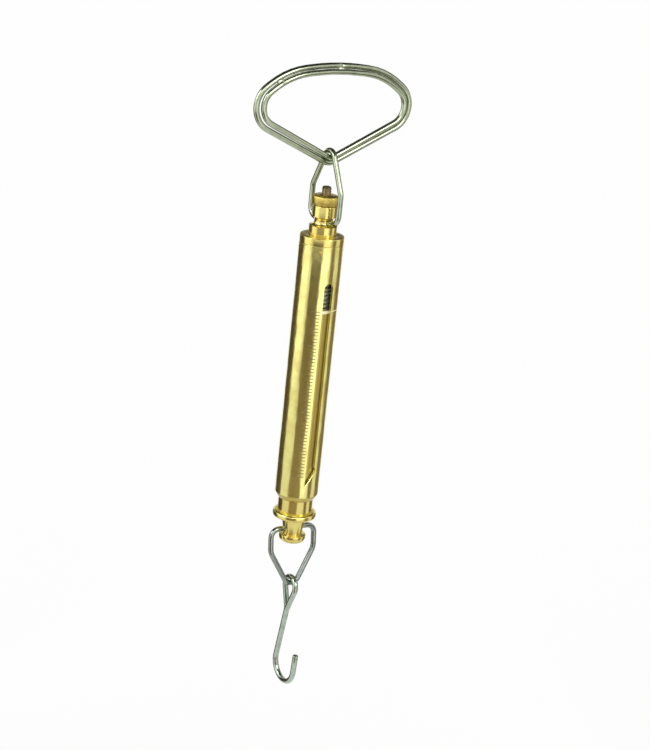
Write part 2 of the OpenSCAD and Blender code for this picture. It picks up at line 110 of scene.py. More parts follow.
HOOK_WIRE = 3.4
HOOK_CHAMFER = 0.6
HOOK_Y = -(LOWER_REACH + LOWER_APEX_R) * math.sin(LOWER_LEAN)
EYE_Z = -305.94
EYE_R = 6.05
EYE_LEAN = math.radians(6)
NECK_Z = -321.04
NECK_R = 5.0
NECK_GAP = 0.4
NECK_HALF = (HOOK_WIRE + NECK_GAP) / 2
THROAT_X = 1.6
THROAT_Z = -356.64
THROAT_R = 10.4
TIP_X = 12.87
TIP_Z = THROAT_Z + 10.5
EYE_SHIFT = (EYE_Z + EYE_R - NECK_Z) * math.sin(EYE_LEAN)
EYE_END_X = math.sqrt(4 * NECK_HALF**2 - EYE_SHIFT**2) - NECK_HALF
EYE_END_Z = NECK_Z + 0.4

BARREL_R = 12.7
BORE_R = 11.1
BARREL_TOP_Z = -94.85
BARREL_END_Z = -245.85

# Hairline between fixed pieces, gaps of fitted and of sliding pieces, and how far a cutter
# goes past what it cuts
SEAM = 0.02
PRESS_GAP = 0.05
GUIDE_GAP = 0.1
CUT_PAST = 2.0

SLOT_TOP_Z = -116.25
SLOT_W = 5.5
SLOT_LONG = 122.6
SLOT_SHORT = 114.1
SLOT_END_STEPS = 24
NOTCH_R = 1.5
NOTCH_DEPTH = 0.9
NOTCH_STEPS = 12
BEVEL_START_Y = -12.18
BEVEL_END_Y = -13.3
BEVEL_FLARE = 0.62
BEVEL_LONG_DROP = 1.8
BEVEL_SHORT_DROP = 0.4

CAP_TOP_Z = -90.35
POST_TOP_Z = -73.35
POST_R = 8.05
POST_TOP_R = 6.9
POST_NECK_Z = UPPER_PIN_Z + 3.2
HOLLOW_R = 2.7
HOLLOW_LIP = 0.25
HOLLOW_STEPS = 24
SPIGOT_H = 10.0
SPIGOT_R = BORE_R - PRESS_GAP
ROD_HOLE_R = 2.85
PIN_HOLE_R = 1.65
PIN_HOLE_FLOOR = 3.4

HEAD_PIN_R = 1.0
HEAD_PIN_HOLE_R = 1.08
HEAD_PIN_LENGTH = 4.0
PEENED_DOME = ((1.0, -0.12), (0.86, -0.02), (0.5, 0.05), (0.0, 0.07))
HEAD_PIN_Z = BARREL_TOP_Z - 3.3
HEAD_PIN_ANGLES = [math.radians(57 + 90 * k) for k in range(4)]

NUT_TOP_Z = -67.55
NUT_R = 7.2
NUT_BORE_R = 2.8
NUT_EDGE = 0.75
KNURL_TEETH = 72
KNURL_DEPTH = 0.15

ROD_TOP_Z = -62.65
ROD_END_Z = -121.85
ROD_R = 2.75
ROD_CHAMFER = 0.4
ROD_TOP_CHAMFER = 0.55
ROD_STEPS = 72
THREAD_LOW_Z = CAP_TOP_Z
THREAD_HIGH_Z = ROD_TOP_Z - 0.5
THREAD_PITCH = 0.8
THREAD_ROWS = 10
THREAD_DEPTH = 0.42
THREAD_ROOT = 1.15
THREAD_SLOPE = 1.3
THREAD_RUN_OUT = 1.5
DRIVER_SLOT_W = 1.2
DRIVER_SLOT_DEPTH = 1.5

NOSE_END_Z = -249.05
NOSE_R = 10.9
BUSH_H = 4.0

PLUNGER_R = 10.3
PLUNGER_BORE_R = 9.5
INDEX_Z = -132.35
INDEX_H = 1.8
FLANGE_TOP_Z = -257.75
FLANGE_Z = FLANGE_TOP_Z - 3.8
FLANGE_R = 12.85
FLANGE_ROUNDING = 1.5
WAIST_TOP_R = 7.3
WAIST_R = 5.6
WAIST_Z = LOWER_PIN_Z - 2.4
BUTTON_R = 7.95
BUTTON_TOP_Z = LOWER_PIN_Z - 3.6
BUTTON_Z = LOWER_PIN_Z - 8.6
BUTTON_ROUNDING = 3.4
FOOT_SPIGOT_R = PLUNGER_BORE_R - PRESS_GAP
STEM_BASE_Z = -245.85
STEM_R = 3.0

SPRING_TOP_Z = -113.85
SPRING_END_Z = -240.85
SPRING_R = 7.0
SPRING_WIRE = 2.0
SPRING_TURNS = 50
SPRING_END_RUN = 1.2
LEAD_TURNS = 0.5
LEAD_DROP = 2.0
COIL_STEPS = 32
COIL_SIDES = 12
STEM_TOP_Z = SPRING_END_Z + 7.5

GRADUATIONS = 50
GRADUATION_STEP = 2.0
GRADUATION_GAP = 1.3
GRADUATION_DEPTH = 0.16
GRADUATION_HALF_W = 0.26
GRADUATION_FLOOR_HALF_W = 0.1
GRADUATION_STEPS = 6
LONG_LINE, MIDDLE_LINE, SHORT_LINE = 5.6, 4.6, 3.5
ZERO_GAP = 0.3
ZERO_LENGTH = 7.0


# Materials


class Graph:
    """Adds shader nodes to a tree and links them."""

    def __init__(self, tree):
        self.tree = tree

    def feed(self, socket, value):
        if isinstance(value, bpy.types.NodeSocket):
            self.tree.links.new(value, socket)
        else:
            socket.default_value = value

    def add(self, kind, inputs=None, **settings):
        node = self.tree.nodes.new(kind)
        for key, value in settings.items():
            setattr(node, key, value)
        for key, value in (inputs or {}).items():
            self.feed(node.inputs[key], value)
        return node

    def height(self):
        """Height on the object's own coordinates, in metres."""
        place = self.add("ShaderNodeTexCoord")
        parts = self.add("ShaderNodeSeparateXYZ", {"Vector": place.outputs["Object"]})
        return parts.outputs["Z"]

    def noise(self, scale, detail, rough):
        """Noise on the object's own coordinates, in features a metre along each axis."""
        place = self.add("ShaderNodeTexCoord")
        sized = self.add(
            "ShaderNodeMapping", {"Vector": place.outputs["Object"], "Scale": scale}
        )
        made = self.add(
            "ShaderNodeTexNoise",
            {
                "Vector": sized.outputs["Vector"],
                "Scale": 1.0,
                "Detail": detail,
                "Roughness": rough,
            },
        )
        return made.outputs["Fac"]

    def maths(self, operation, first, second):
        made = self.add("ShaderNodeMath", {0: first, 1: second}, operation=operation)
        return made.outputs["Value"]

    def mix(self, share, first, second):
        """Mixes two colours. A Mix node's sockets share names, so they are set by place."""
        made = self.add(
            "ShaderNodeMix", {0: share, 6: first, 7: second}, data_type="RGBA"
        )
        return made.outputs[2]

    def remap(self, value, low, high, to_low, to_high):
        made = self.add(
            "ShaderNodeMapRange",
            {
                "Value": value,
                "From Min": low,
                "From Max": high,
                "To Min": to_low,
                "To Max": to_high,
            },
        )
        return made.outputs["Result"]

    def bump(self, height, distance):
        return self.add(
            "ShaderNodeBump", {"Height": height, "Strength": 1.0, "Distance": distance * MM}
        )

    def seen_plainly(self):
        """1 where the camera sees a thing, straight or in the metal, and 0 for its light."""
        rays = self.add("ShaderNodeLightPath")
        return self.maths(
            "MAXIMUM", rays.outputs["Is Camera Ray"], rays.outputs["Is Glossy Ray"]
        )


# Grains, waves and patches of the metals, in features a metre along each axis
DRAWN = (420, 420, 1500)
TURNED = (150, 150, 4200)
RUBBED = (1800, 1800, 1800)
CUT = (1500, 1500, 1500)
PLATED = (900, 900, 900)
OILED = (1200, 1200, 1200)
MELTED = (2200, 2200, 2200)
FILLED = (2500, 2500, 2500)
LONG_WAVES = (170, 170, 45)
BROAD_PATCHES = 90.0
WIRE_PATCHES = 160.0

# Noise values between which a patch goes dull, its gloss changes and the grain roughens it,
# and by how much they do
DULL_NOISE = (0.42, 0.72)
DULL_SHARE = 0.6
GLOSS_NOISE = (0.3, 0.75)
GLOSS_FACTORS = (0.8, 1.5)
GRAIN_NOISE = (0.2, 0.8)
GRAIN_ROUGHNESS = (-0.03, 0.05)
# Height over which the painted shade inside the barrel fades in, in millimetres
INSIDE_SHADE_FADE = 1.0


def new_material(name):
    material = bpy.data.materials.new(name)
    material.use_nodes = True
    tree = material.node_tree
    return material, Graph(tree), tree.nodes["Principled BSDF"]


def metal(
    name, tint, dull, rough, grain, depth, patches=BROAD_PATCHES, metallic=1.0, wave=0.0
):
    """Metal with a grain, duller patches, an uneven gloss and long low waves along it."""
    material, graph, shader = new_material(name)
    shader.inputs["Metallic"].default_value = metallic
    patch = graph.noise((patches,) * 3, detail=5.0, rough=0.6)
    fine = graph.noise(grain, detail=3.0, rough=0.6)
    dulled = graph.remap(patch, *DULL_NOISE, 0.0, DULL_SHARE)
    graph.feed(shader.inputs["Base Color"], graph.mix(dulled, (*tint, 1.0), (*dull, 1.0)))
    gloss = graph.maths(
        "ADD",
        graph.remap(patch, *GLOSS_NOISE, *(rough * factor for factor in GLOSS_FACTORS)),
        graph.remap(fine, *GRAIN_NOISE, *GRAIN_ROUGHNESS),
    )
    graph.feed(shader.inputs["Roughness"], gloss)
    relief = graph.bump(fine, depth)
    if wave:
        swell = graph.bump(graph.noise(LONG_WAVES, detail=2.0, rough=0.5), wave)
        graph.feed(relief.inputs["Normal"], swell.outputs["Normal"])
    graph.feed(shader.inputs["Normal"], relief.outputs["Normal"])
    return material


def inside_shade_above(material, z, colour, metallic):
    """Browner and duller above a height, where the piece stays inside the barrel: painted shade
    of the barrel's inside.
    """
    graph = Graph(material.node_tree)
    shader = material.node_tree.nodes["Principled BSDF"]
    low, high = (z - INSIDE_SHADE_FADE) * MM, (z + INSIDE_SHADE_FADE) * MM
    inside = graph.remap(graph.height(), low, high, 0.0, 1.0)
    bright = shader.inputs["Base Color"].links[0].from_socket
    graph.feed(shader.inputs["Base Color"], graph.mix(inside, bright, (*colour, 1.0)))
    graph.feed(shader.inputs["Metallic"], graph.remap(inside, 0.0, 1.0, 1.0, metallic))


polished_brass = metal(
    "polished_brass", (0.78, 0.72, 0.27), (0.58, 0.47, 0.12), 0.17, DRAWN, 0.004, wave=0.3
)
plunger_brass = metal(
    "plunger_brass", (0.77, 0.66, 0.23), (0.60, 0.47, 0.13), 0.15, DRAWN, 0.004
)
# Painted shade: the tube is browner and duller where it stays inside the barrel
inside_shade_above(plunger_brass, NOSE_END_Z, (0.59, 0.47, 0.13), 0.6)
nose_brass = metal(
    "nose_brass", (0.50, 0.41, 0.12), (0.38, 0.29, 0.08), 0.20, TURNED, 0.006
)
turned_brass = metal(
    "turned_brass", (0.77, 0.66, 0.22), (0.55, 0.41, 0.10), 0.16, TURNED, 0.006
)
satin_brass = metal(
    "satin_brass", (0.64, 0.50, 0.13), (0.43, 0.31, 0.07), 0.28, RUBBED, 0.004
)
# Pale, partly matt brass of the index collar: a painted highlight that keeps its edge bright in
# the barrel's shade
index_highlight_brass = metal(
    "index_highlight_brass", (0.95, 0.88, 0.64), (0.84, 0.74, 0.46), 0.30, RUBBED, 0.006, metallic=0.3
)
rod_brass = metal(
    "rod_brass", (0.38, 0.32, 0.18), (0.23, 0.18, 0.09), 0.28, CUT, 0.01
)
plated_wire = metal(
    "plated_wire", (0.43, 0.475, 0.345), (0.225, 0.255, 0.17), 0.14, PLATED, 0.006, WIRE_PATCHES
)
hook_steel = metal(
    "hook_steel", (0.44, 0.51, 0.43), (0.23, 0.27, 0.22), 0.14, PLATED, 0.006, WIRE_PATCHES
)
bail_steel = metal(
    "bail_steel", (0.31, 0.35, 0.32), (0.16, 0.18, 0.16), 0.14, PLATED, 0.006, WIRE_PATCHES
)
# Pale steel of the spring and plug pins: painted light, so the coils show lit inside the dark
# barrel
spring_steel = metal(
    "spring_steel", (0.74, 0.73, 0.54), (0.50, 0.48, 0.33), 0.40, OILED, 0.006, metallic=0.6
)
braze = metal("braze", (0.66, 0.67, 0.58), (0.40, 0.40, 0.32), 0.30, MELTED, 0.02)
engraving_fill = metal(
    "engraving_fill", (0.21, 0.16, 0.055), (0.27, 0.21, 0.08), 0.55, FILLED, 0.01, metallic=0.0
)
# Pale matt fill of the zero line: a painted glint along it
zero_line_glint = metal(
    "zero_line_glint", (0.88, 0.82, 0.60), (0.74, 0.66, 0.42), 0.5, FILLED, 0.01, metallic=0.0
)


# Pieces from meshes that are drawn in millimetres


def mesh_object(name, bm):
    mesh = bpy.data.meshes.new(name)
    bm.to_mesh(mesh)
    bm.free()
    obj = bpy.data.objects.new(name, mesh)
    bpy.context.scene.collection.objects.link(obj)
    return obj


def object_from_mm(name, bm):
    bmesh.ops.recalc_face_normals(bm, faces=bm.faces)
    bmesh.ops.scale(bm, vec=(MM, MM, MM), verts=bm.verts)
    return mesh_object(name, bm)


def shade(mesh, sharp):
    mesh.polygons.foreach_set("use_smooth", [True] * len(mesh.polygons))
    mesh.set_sharp_from_angle(angle=math.radians(sharp))


def finish_object(name, bm, material, body=None, replaces=(), sharp=SHARP):
    """A finished piece: its metal, the solid it stands for and its body."""
    bmesh.ops.remove_doubles(bm, verts=bm.verts, dist=WELD)
    obj = object_from_mm(name, bm)
    obj.data.materials.append(material)
    shade(obj.data, sharp)
    if replaces:
        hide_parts(*replaces)
    if body:
        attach(obj, body)
    return obj


def edges_of(geometry):
    return [g for g in geometry if isinstance(g, bmesh.types.BMEdge)]


def verts_of(geometry):
    return [g for g in geometry if isinstance(g, bmesh.types.BMVert)]


def far_edges(geometry):
    """Edges of the new ring in what an extrusion made."""
    verts = set(verts_of(geometry))
    return [e for e in edges_of(geometry) if all(v in verts for v in e.verts)]


def spoke(angle, radius, z):
    """Point at an angle round the Z axis."""
    return Vector((radius * math.cos(angle), radius * math.sin(angle), z))


# Wires: a list of bends (x, y, r) in a plane, r > 0 turning left and r = 0 an end

LONGEST_RUN = 6.0
BEND_STEP = math.radians(6)
END_SHARES = (0.30, 0.62, 1.0)


def run_angle(a, b):
    dx, dy = b[0] - a[0], b[1] - a[1]
    return math.atan2(dy, dx) - math.asin((b[2] - a[2]) / math.hypot(dx, dy))


def run_point(bend, angle):
    x, y, r = bend
    return Vector((x + r * math.sin(angle), y - r * math.cos(angle), 0))


def left_turn(first, last):
    return (last - first) % TURN


class Sweep:
    """A round wire drawn along runs and bends in the XY plane."""

    def __init__(self, start, angle, wire):
        self.bm = bmesh.new()
        self.r = wire / 2
        self.angle = self.first_angle = angle
        self.at = Vector(start)
        self.first_at = self.at.copy()
        turned = Matrix.Rotation(angle, 4, "Z") @ Matrix.Rotation(QUARTER, 4, "Y")
        bmesh.ops.create_circle(
            self.bm,
            cap_ends=False,
            radius=self.r,
            segments=WIRE_SIDES,
            matrix=Matrix.Translation(self.at) @ turned,
        )
        self.ring = self.bm.edges[:]
        self.first_ring = self.bm.edges[:]

    def run_to(self, far):
        length = (far - self.at).length
        if length < 0.001:
            return
        pieces = max(1, round(length / LONGEST_RUN))
        step = Vector((math.cos(self.angle), math.sin(self.angle), 0)) * (length / pieces)
        for _ in range(pieces):
            made = bmesh.ops.extrude_edge_only(self.bm, edges=self.ring)["geom"]
            bmesh.ops.translate(self.bm, vec=step, verts=verts_of(made))
            self.ring = far_edges(made)
            self.at += step

    def bend(self, bend, turn):
        centre = Vector((bend[0], bend[1], 0))
        made = bmesh.ops.spin(
            self.bm,
            geom=self.ring,
            cent=centre,
            axis=(0, 0, 1),
            angle=turn,
            steps=max(3, math.ceil(abs(turn) / BEND_STEP)),
            use_duplicate=False,
        )["geom_last"]
        self.ring = edges_of(made)
        self.at = centre + Matrix.Rotation(turn, 3, "Z") @ (self.at - centre)
        self.angle += turn

    def close(self, ring, at, angle, chamfer):
        """Rounds off and closes one end of the wire."""
        outward = Vector((math.cos(angle), math.sin(angle), 0))
        for share in END_SHARES:
            made = bmesh.ops.extrude_edge_only(self.bm, edges=ring)["geom"]
            radius = self.r - chamfer * (1 - math.cos(share * QUARTER))
            middle = at + outward * chamfer * math.sin(share * QUARTER)
            for v in verts_of(made):
                flat = v.co - at
                flat -= outward * flat.dot(outward)
                v.co = middle + flat.normalized() * radius
            ring = far_edges(made)
        bmesh.ops.edgeloop_fill(self.bm, edges=ring)

    def close_first(self, chamfer):
        self.close(self.first_ring, self.first_at, self.first_angle + math.pi, chamfer)

    def close_last(self, chamfer):
        self.close(self.ring, self.at, self.angle, chamfer)

    def place(self, matrix):
        bmesh.ops.transform(self.bm, matrix=matrix, verts=self.bm.verts)
        return self.bm


def ring_bends(inset, narrowing):
    """Bends of one ring of the handle, leftwards from its arch."""
    side_x, edge_x = SHOULDER_X - narrowing, CORNER_X - narrowing
    side_z = ARCH_Z + math.sqrt(ARCH_TO_SHOULDER**2 - side_x**2)
    edge_z = side_z + CORNER_RISE
    return [
        (0.0, ARCH_Z, ARCH_R - inset),
        (-side_x, side_z, SHOULDER_R - inset),
        (-edge_x, edge_z, CORNER_R - inset),
        (0.0, HANDLE_BASE_Z + HANDLE_V_R, HANDLE_V_R - inset),
        (edge_x, edge_z, CORNER_R - inset),
        (side_x, side_z, SHOULDER_R - inset),
    ]


def jointed_ring(bends, joint):
    """A ring whose ends meet on its first bend, at an angle from the top of that bend."""
    gap = BUTT_REACH / bends[0][2]
    first, last = math.pi - joint + gap, math.pi - joint - gap
    tour = bends + bends[:1]
    angles = [first] + [run_angle(a, b) for a, b in zip(tour, tour[1:])] + [last]
    sweep = Sweep(run_point(bends[0], first), first, HANDLE_WIRE)
    for bend, angle, next_angle in zip(tour, angles, angles[1:]):
        sweep.run_to(run_point(bend, angle))
        sweep.bend(bend, left_turn(angle, next_angle))
    sweep.close_first(BUTT_CHAMFER)
    sweep.close_last(BUTT_CHAMFER)
    return sweep


def upright(y):
    return Matrix.Translation((0, y, 0)) @ Matrix.Rotation(QUARTER, 4, "X")


finish_object(
    "handle_outer_wire",
    jointed_ring(ring_bends(0, 0), CROWN_JOINT).place(upright(RING_STAGGER / 2)),
    plated_wire,
    "handle",
    ["handle_outer_ring"],
)
inner_bends = ring_bends(RING_STEP, RING_NARROWING)
from_shoulder = inner_bends[1:] + inner_bends[:1]
finish_object(
    "handle_inner_wire",
    jointed_ring(from_shoulder, SHOULDER_JOINT).place(upright(-RING_STAGGER / 2)),
    plated_wire,
    "handle",
    ["handle_inner_ring"],
)


def braze_bead(name, bend, joint):
    """A fillet of braze between the two rings on a bend, drawn out along them."""
    bm = bmesh.new()
    bmesh.ops.create_uvsphere(bm, u_segments=32, v_segments=20, radius=BEAD_R)
    for v in bm.verts:
        x, y, z = (lumps * way for lumps, way in zip(BEAD_LUMPS, v.co))
        swell = 1 + BEAD_UNEVENNESS * math.sin(x + y) * math.cos(z)
        v.co = Vector((v.co.x * BEAD_STRETCH * swell, v.co.y * swell, v.co.z * BEAD_FLATNESS))
    at = run_point(bend, math.pi - joint)
    turned = Matrix.Rotation(joint, 4, "Y") @ Matrix.Rotation(BEAD_TILT, 4, "X")
    place = Matrix.Translation((at.x, 0, at.y)) @ turned
    bmesh.ops.transform(bm, matrix=place, verts=bm.verts)
    finish_object(name, bm, braze, "handle")


between_bends = ring_bends(RING_STEP / 2, RING_NARROWING / 2)
braze_bead("braze_bead_crown", between_bends[0], CROWN_JOINT)
braze_bead("braze_bead_shoulder", between_bends[1], SHOULDER_JOINT)


def bail_wire(reach, apex_r, leg_h, kink_r, foot_r):
    """A bail from one of its inward pins, up a leg, round the apex and down to the other."""
    foot_x, kink_x = BAIL_W / 2 - foot_r, BAIL_W / 2 - kink_r
    bends = [
        (BAIL_END_X, 0, 0),
        (foot_x, foot_r, foot_r),
        (kink_x, leg_h, kink_r),
        (0, reach, apex_r),
        (-kink_x, leg_h, kink_r),
        (-foot_x, foot_r, foot_r),
        (-BAIL_END_X, 0, 0),
    ]
    angles = [run_angle(a, b) for a, b in zip(bends, bends[1:])]
    sweep = Sweep(run_point(bends[0], angles[0]), angles[0], BAIL_WIRE)
    for bend, angle, next_angle in zip(bends[1:], angles, angles[1:]):
        sweep.run_to(run_point(bend, angle))
        sweep.bend(bend, left_turn(angle, next_angle))
    sweep.run_to(run_point(bends[-1], angles[-1]))
    sweep.close_first(BAIL_CHAMFER)
    sweep.close_last(BAIL_CHAMFER)
    return sweep


finish_object(
    "upper_bail_wire",
    bail_wire(UPPER_REACH, UPPER_APEX_R, UPPER_LEG_H, UPPER_KINK_R, UPPER_FOOT_R).place(
        Matrix.Translation((0, 0, UPPER_PIN_Z))
        @ Matrix.Rotation(QUARTER, 4, "Z")
        @ Matrix.Rotation(QUARTER, 4, "X")
    ),
    plated_wire,
    "upper_bail",
    ["upper_bail"],
)
finish_object(
    "lower_bail_wire",
    bail_wire(LOWER_REACH, LOWER_APEX_R, LOWER_LEG_H, LOWER_KINK_R, LOWER_FOOT_R).place(
        Matrix.Translation((0, 0, LOWER_PIN_Z))
        @ Matrix.Rotation(-QUARTER - LOWER_LEAN, 4, "X")
    ),
    bail_steel,
    "lower_bail",
    ["lower_bail"],
)


def hook_wire():
    """The hook, from the end of its wire over the leaning side of the eye to the tip."""
    end = (EYE_END_X, EYE_END_Z, 0)
    eye = (0, EYE_Z, EYE_R)
    neck = (-NECK_HALF - NECK_R, NECK_Z, -NECK_R)
    throat = (THROAT_X, THROAT_Z, THROAT_R)
    tip = (TIP_X, TIP_Z, 0)
    angle = run_angle(end, eye)
    sweep = Sweep(run_point(end, angle), angle, HOOK_WIRE)
    sweep.run_to(run_point(eye, angle))
    sweep.bend(eye, math.pi - angle)
    sweep.close_first(HOOK_CHAMFER)
    top = Matrix.Translation((0, EYE_Z + EYE_R, 0))
    sweep.place(top @ Matrix.Rotation(-EYE_LEAN, 4, "X") @ top.inverted())
    bends = (eye, neck, throat, tip)
    angles = [math.pi] + [run_angle(a, b) for a, b in zip(bends, bends[1:])]
    for bend, angle, next_angle in zip(bends, angles, angles[1:]):
        side = math.copysign(1, bend[2])
        sweep.run_to(run_point(bend, angle))
        sweep.bend(bend, side * left_turn(side * angle, side * next_angle))
    sweep.run_to(run_point(tip, angles[-1]))
    sweep.close_last(HOOK_CHAMFER)
    return sweep


finish_object(
    "hook_wire",
    hook_wire().place(
        Matrix.Translation((0, HOOK_Y, 0))
        @ Matrix.Rotation(-QUARTER, 4, "Z")
        @ Matrix.Rotation(QUARTER, 4, "X")
    ),
    hook_steel,
    "hook",
    ["hook"],
)


# Turned pieces: a closed half section of corners (r, z, rounding)

ROUNDING_STEP = math.radians(15)


def rounded(corners):
    """Points of a closed section whose corners are rounded by arcs."""
    points = []
    count = len(corners)
    for i, (r, z, rounding) in enumerate(corners):
        here = Vector((r, z))
        if rounding <= 0:
            points.append(here)
            continue
        back = (Vector(corners[i - 1][:2]) - here).normalized()
        ahead = (Vector(corners[(i + 1) % count][:2]) - here).normalized()
        half = back.angle(ahead) / 2
        reach = rounding / math.tan(half)
        centre = here + (back + ahead).normalized() * (rounding / math.sin(half))
        first, last = here + back * reach - centre, here + ahead * reach - centre
        sweep = first.angle_signed(last)
        steps = max(3, math.ceil(abs(sweep) / ROUNDING_STEP))
        for k in range(steps + 1):
            points.append(centre + Matrix.Rotation(-sweep * k / steps, 2) @ first)
    return points


def lathe(section, steps=LATHE_STEPS):
    """Turns a closed section of points (r, z) round the Z axis, but not an edge on it."""
    bm = bmesh.new()
    verts = [bm.verts.new((r, 0, z)) for r, z in section]
    pairs = zip(verts[-1:] + verts, verts)
    edges = [bm.edges.new((a, b)) for a, b in pairs if a.co.x or b.co.x]
    bmesh.ops.spin(
        bm,
        geom=verts + edges,
        cent=(0, 0, 0),
        axis=(0, 0, 1),
        angle=TURN,
        steps=steps,
        use_merge=True,
    )
    bmesh.ops.remove_doubles(bm, verts=bm.verts, dist=WELD)
    return bm


def turned_piece(name, corners, material, body, node, steps=LATHE_STEPS):
    bm = lathe(rounded(corners), steps)
    return finish_object(name, bm, material, body, [node])


def arc(x, z, radius, first, last, steps):
    """Points of an arc round (x, z) in a section, angles from outward."""
    angles = [first + (last - first) * k / steps for k in range(steps + 1)]
    return [(x + radius * math.cos(a), z + radius * math.sin(a)) for a in angles]


def turns_round(vert):
    return math.atan2(vert.co.y, vert.co.x) / TURN


def sink(vert, depth):
    """Moves a vertex of a turned piece straight in towards the axis."""
    kept = 1 - depth / math.hypot(vert.co.x, vert.co.y)
    vert.co.x *= kept
    vert.co.y *= kept


def cut(obj, tools, sharp=SHARP):
    """Takes the tools' shapes out of a piece."""
    for tool in tools:
        step = obj.modifiers.new("cut", "BOOLEAN")
        step.operation = "DIFFERENCE"
        step.solver = "EXACT"
        step.object = tool
    bpy.context.view_layer.update()
    graph = bpy.context.evaluated_depsgraph_get()
    shaped = bpy.data.meshes.new_from_object(obj.evaluated_get(graph))
    obj.modifiers.clear()
    obj.data = shaped
    for tool in tools:
        bpy.data.objects.remove(tool)
    shade(shaped, sharp)


def rod_tool(radius, first, last, steps=64):
    """A round cutter from one point to another."""
    bm = bmesh.new()
    along = last - first
    turned = along.to_track_quat("Z", "Y").to_matrix().to_4x4()
    bmesh.ops.create_cone(
        bm,
        cap_ends=True,
        segments=steps,
        radius1=radius,
        radius2=radius,
        depth=along.length,
        matrix=Matrix.Translation((first + last) / 2) @ turned,
    )
    return object_from_mm("cutter", bm)


def box_tool(low, high):
    bm = bmesh.new()
    place = Matrix.Translation((low + high) / 2) @ Matrix.Diagonal((*(high - low), 1))
    bmesh.ops.create_cube(bm, size=1.0, matrix=place)
    return object_from_mm("cutter", bm)


below_hollow = [
    (ROD_HOLE_R, BARREL_TOP_Z - SPIGOT_H, 0),
    (SPIGOT_R, BARREL_TOP_Z - SPIGOT_H, 0.5),
    (SPIGOT_R, BARREL_TOP_Z, 0),
    (BARREL_R, BARREL_TOP_Z + SEAM, 0.25),
    (BARREL_R, CAP_TOP_Z, 0.55),
    (POST_R, CAP_TOP_Z, 0.35),
]
above_hollow = [
    (POST_TOP_R, POST_NECK_Z, 0),
    (POST_TOP_R, POST_TOP_Z, 0.45),
    (ROD_HOLE_R, POST_TOP_Z, 0),
]
hollow_end = math.acos((POST_TOP_R - POST_R) / HOLLOW_R)
hollow = arc(POST_R, UPPER_PIN_Z, HOLLOW_R, 3 * QUARTER, hollow_end, HOLLOW_STEPS)
hollow_lip = (POST_R, UPPER_PIN_Z - HOLLOW_R - HOLLOW_LIP)
head = finish_object(
    "head_plug_turned",
    lathe(rounded(below_hollow) + [hollow_lip] + hollow + rounded(above_hollow)),
    turned_brass,
    "barrel",
    ["head_plug"],
)
cut(
    head,
    [
        rod_tool(
            PIN_HOLE_R,
            Vector((0, side * PIN_HOLE_FLOOR, UPPER_PIN_Z)),
            Vector((0, side * (POST_R + CUT_PAST), UPPER_PIN_Z)),
        )
        for side in (1, -1)
    ],
)

foot = turned_piece(
    "foot_plug_turned",
    [
        (0, BUTTON_Z, 0),
        (BUTTON_R, BUTTON_Z, BUTTON_ROUNDING),
        (BUTTON_R, BUTTON_TOP_Z, 0.5),
        (WAIST_R, BUTTON_TOP_Z, 0.4),
        (WAIST_R, WAIST_Z, 0),
        (WAIST_TOP_R, FLANGE_Z, 0.5),
        (FLANGE_R, FLANGE_Z, FLANGE_ROUNDING),
        (FLANGE_R, FLANGE_TOP_Z, FLANGE_ROUNDING),
        (FOOT_SPIGOT_R, FLANGE_TOP_Z, 0),
        (FOOT_SPIGOT_R, STEM_BASE_Z, 0.4),
        (STEM_R, STEM_BASE_Z, 0),
        (STEM_R, STEM_TOP_Z, 0.4),
        (0, STEM_TOP_Z, 0),
    ],
    turned_brass,
    "plunger",
    "foot_plug",
)
pin_hole_end = Vector((WAIST_TOP_R + CUT_PAST, 0, 0))
pin_hole_middle = Vector((0, 0, LOWER_PIN_Z))
cut(
    foot,
    [rod_tool(PIN_HOLE_R, pin_hole_middle - pin_hole_end, pin_hole_middle + pin_hole_end)],
)

turned_piece(
    "guide_bush_turned",
    [
        (PLUNGER_R + GUIDE_GAP, NOSE_END_Z, 0.15),
        (NOSE_R, NOSE_END_Z, 0.15),
        (BARREL_R, BARREL_END_Z, 0.2),
        (BORE_R - SEAM, BARREL_END_Z, 0),
        (BORE_R - SEAM, BARREL_END_Z + BUSH_H, 0),
        (PLUNGER_R + GUIDE_GAP, BARREL_END_Z + BUSH_H, 0.3),
    ],
    nose_brass,
    "barrel",
    "guide_bush",
)
turned_piece(
    "plunger_tube_drawn",
    [
        (PLUNGER_BORE_R, FLANGE_TOP_Z + SEAM, 0),
        (PLUNGER_R, FLANGE_TOP_Z + SEAM, 0.1),
        (PLUNGER_R, INDEX_Z, 0.15),
        (PLUNGER_BORE_R, INDEX_Z, 0.15),
    ],
    plunger_brass,
    "plunger",
    "plunger_tube",
)
turned_piece(
    "index_collar_turned",
    [
        (PLUNGER_R + SEAM / 2, INDEX_Z - INDEX_H, 0.1),
        (BORE_R - GUIDE_GAP, INDEX_Z - INDEX_H, 0.15),
        (BORE_R - GUIDE_GAP, INDEX_Z, 0.2),
        (PLUNGER_R + SEAM / 2, INDEX_Z, 0.1),
    ],
    index_highlight_brass,
    "plunger",
    "index_collar",
)


def knurled_nut():
    """Round nut, its edges broken in two flats, with a fine straight knurl between them."""
    low, high = POST_TOP_Z + PRESS_GAP, NUT_TOP_Z
    edge = [
        (NUT_BORE_R, 0),
        (NUT_R - NUT_EDGE, 0),
        (NUT_R - 0.4 * NUT_EDGE, 0.6 * NUT_EDGE),
        (NUT_R, NUT_EDGE),
    ]
    section = [(r, low + rise) for r, rise in edge]
    section += [(r, high - rise) for r, rise in reversed(edge)]
    bm = lathe(section, 4 * KNURL_TEETH)
    for v in bm.verts:
        if math.hypot(v.co.x, v.co.y) > NUT_R - SEAM:
            sink(v, KNURL_DEPTH * abs(1 - 2 * (turns_round(v) * KNURL_TEETH % 1)))
    return bm


finish_object(
    "zero_nut_knurled",
    knurled_nut(),
    satin_brass,
    "zero_nut",
    ["zero_nut"],
    sharp=KNURL_SHARP,
)


